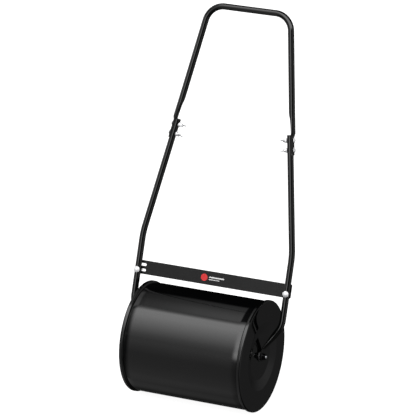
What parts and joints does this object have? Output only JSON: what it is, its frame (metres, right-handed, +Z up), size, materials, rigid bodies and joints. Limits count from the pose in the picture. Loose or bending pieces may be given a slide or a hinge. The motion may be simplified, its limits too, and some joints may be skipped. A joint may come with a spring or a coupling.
{
  "type": "lawn roller",
  "caption": "Push lawn roller: hollow fillable drum turning on a through axle, bolted tubular handle and a scraper bar.",
  "frame": {"origin": "on the ground, midway between the drum's front and the back of the handle bar, at the machine's centre plane", "axes": "+X along the axle to the right, +Y from the drum towards the handle bar, +Z up"},
  "size_m": [0.4804, 0.4962, 1.0715],
  "materials": {
    "handle_paint": "semi-gloss black powder coat",
    "scraper_paint": "satin black powder coat",
    "drum_paint": "gloss black powder coat",
    "end_paint": "semi-gloss black powder coat",
    "zinc_plate": "bright zinc plate",
    "cast_zinc": "zinc-plated casting",
    "axle_steel": "zinc-plated steel",
    "black_zinc": "black zinc plate",
    "hub_steel": "drawn steel tube",
    "bush_nylon": "black nylon",
    "socket_steel": "black paint over steel",
    "gasket_rubber": "matt black rubber",
    "plug_plastic": "moulded black plastic"
  },
  "bodies": {
    "frame": {"upper_handle": "handle_paint", "left_lower_tube": "handle_paint", "right_lower_tube": "handle_paint", "scraper_plate": "scraper_paint", "scraper_bolts": "zinc_plate", "scraper_washers": "zinc_plate", "scraper_nuts": "zinc_plate", "left_joint_bolts": "zinc_plate", "left_joint_washers": "zinc_plate", "left_wing_nuts": "cast_zinc", "right_joint_bolts": "zinc_plate", "right_joint_washers": "zinc_plate", "right_wing_nuts": "cast_zinc", "axle_rod": "axle_steel", "axle_thrust_washers": "black_zinc", "axle_tab_washers": "black_zinc", "axle_lock_nuts": "black_zinc"},
    "drum": {"drum_shell": "drum_paint", "left_end_plate": "end_paint", "right_end_plate": "end_paint", "hub_tube": "hub_steel", "left_bush": "bush_nylon", "right_bush": "bush_nylon", "filler_socket": "socket_steel"},
    "plug_seal": {"filler_gasket": "gasket_rubber"},
    "plug": {"filler_plug": "plug_plastic"}
  },
  "joints": [
    {"name": "drum_spin", "type": "hinge", "parent": "frame", "child": "drum", "pos_m": [0, -0.08812, 0.16], "axis": [1, 0, 0], "continuous": true},
    {"name": "plug_lift", "type": "slide", "parent": "drum", "child": "plug_seal", "axis": [-1, 0, 0], "range_m": [0, 0.0127]},
    {"name": "plug_turn", "type": "hinge", "parent": "plug_seal", "child": "plug", "pos_m": [-0.187, -0.04537, 0.04254], "axis": [-1, 0, 0], "range_deg": [0, 2520.9]}
  ],
  "couplings": [
    {"joint": "plug_lift", "follows": "plug_turn", "m_per_rad": 0.00028871}
  ]
}
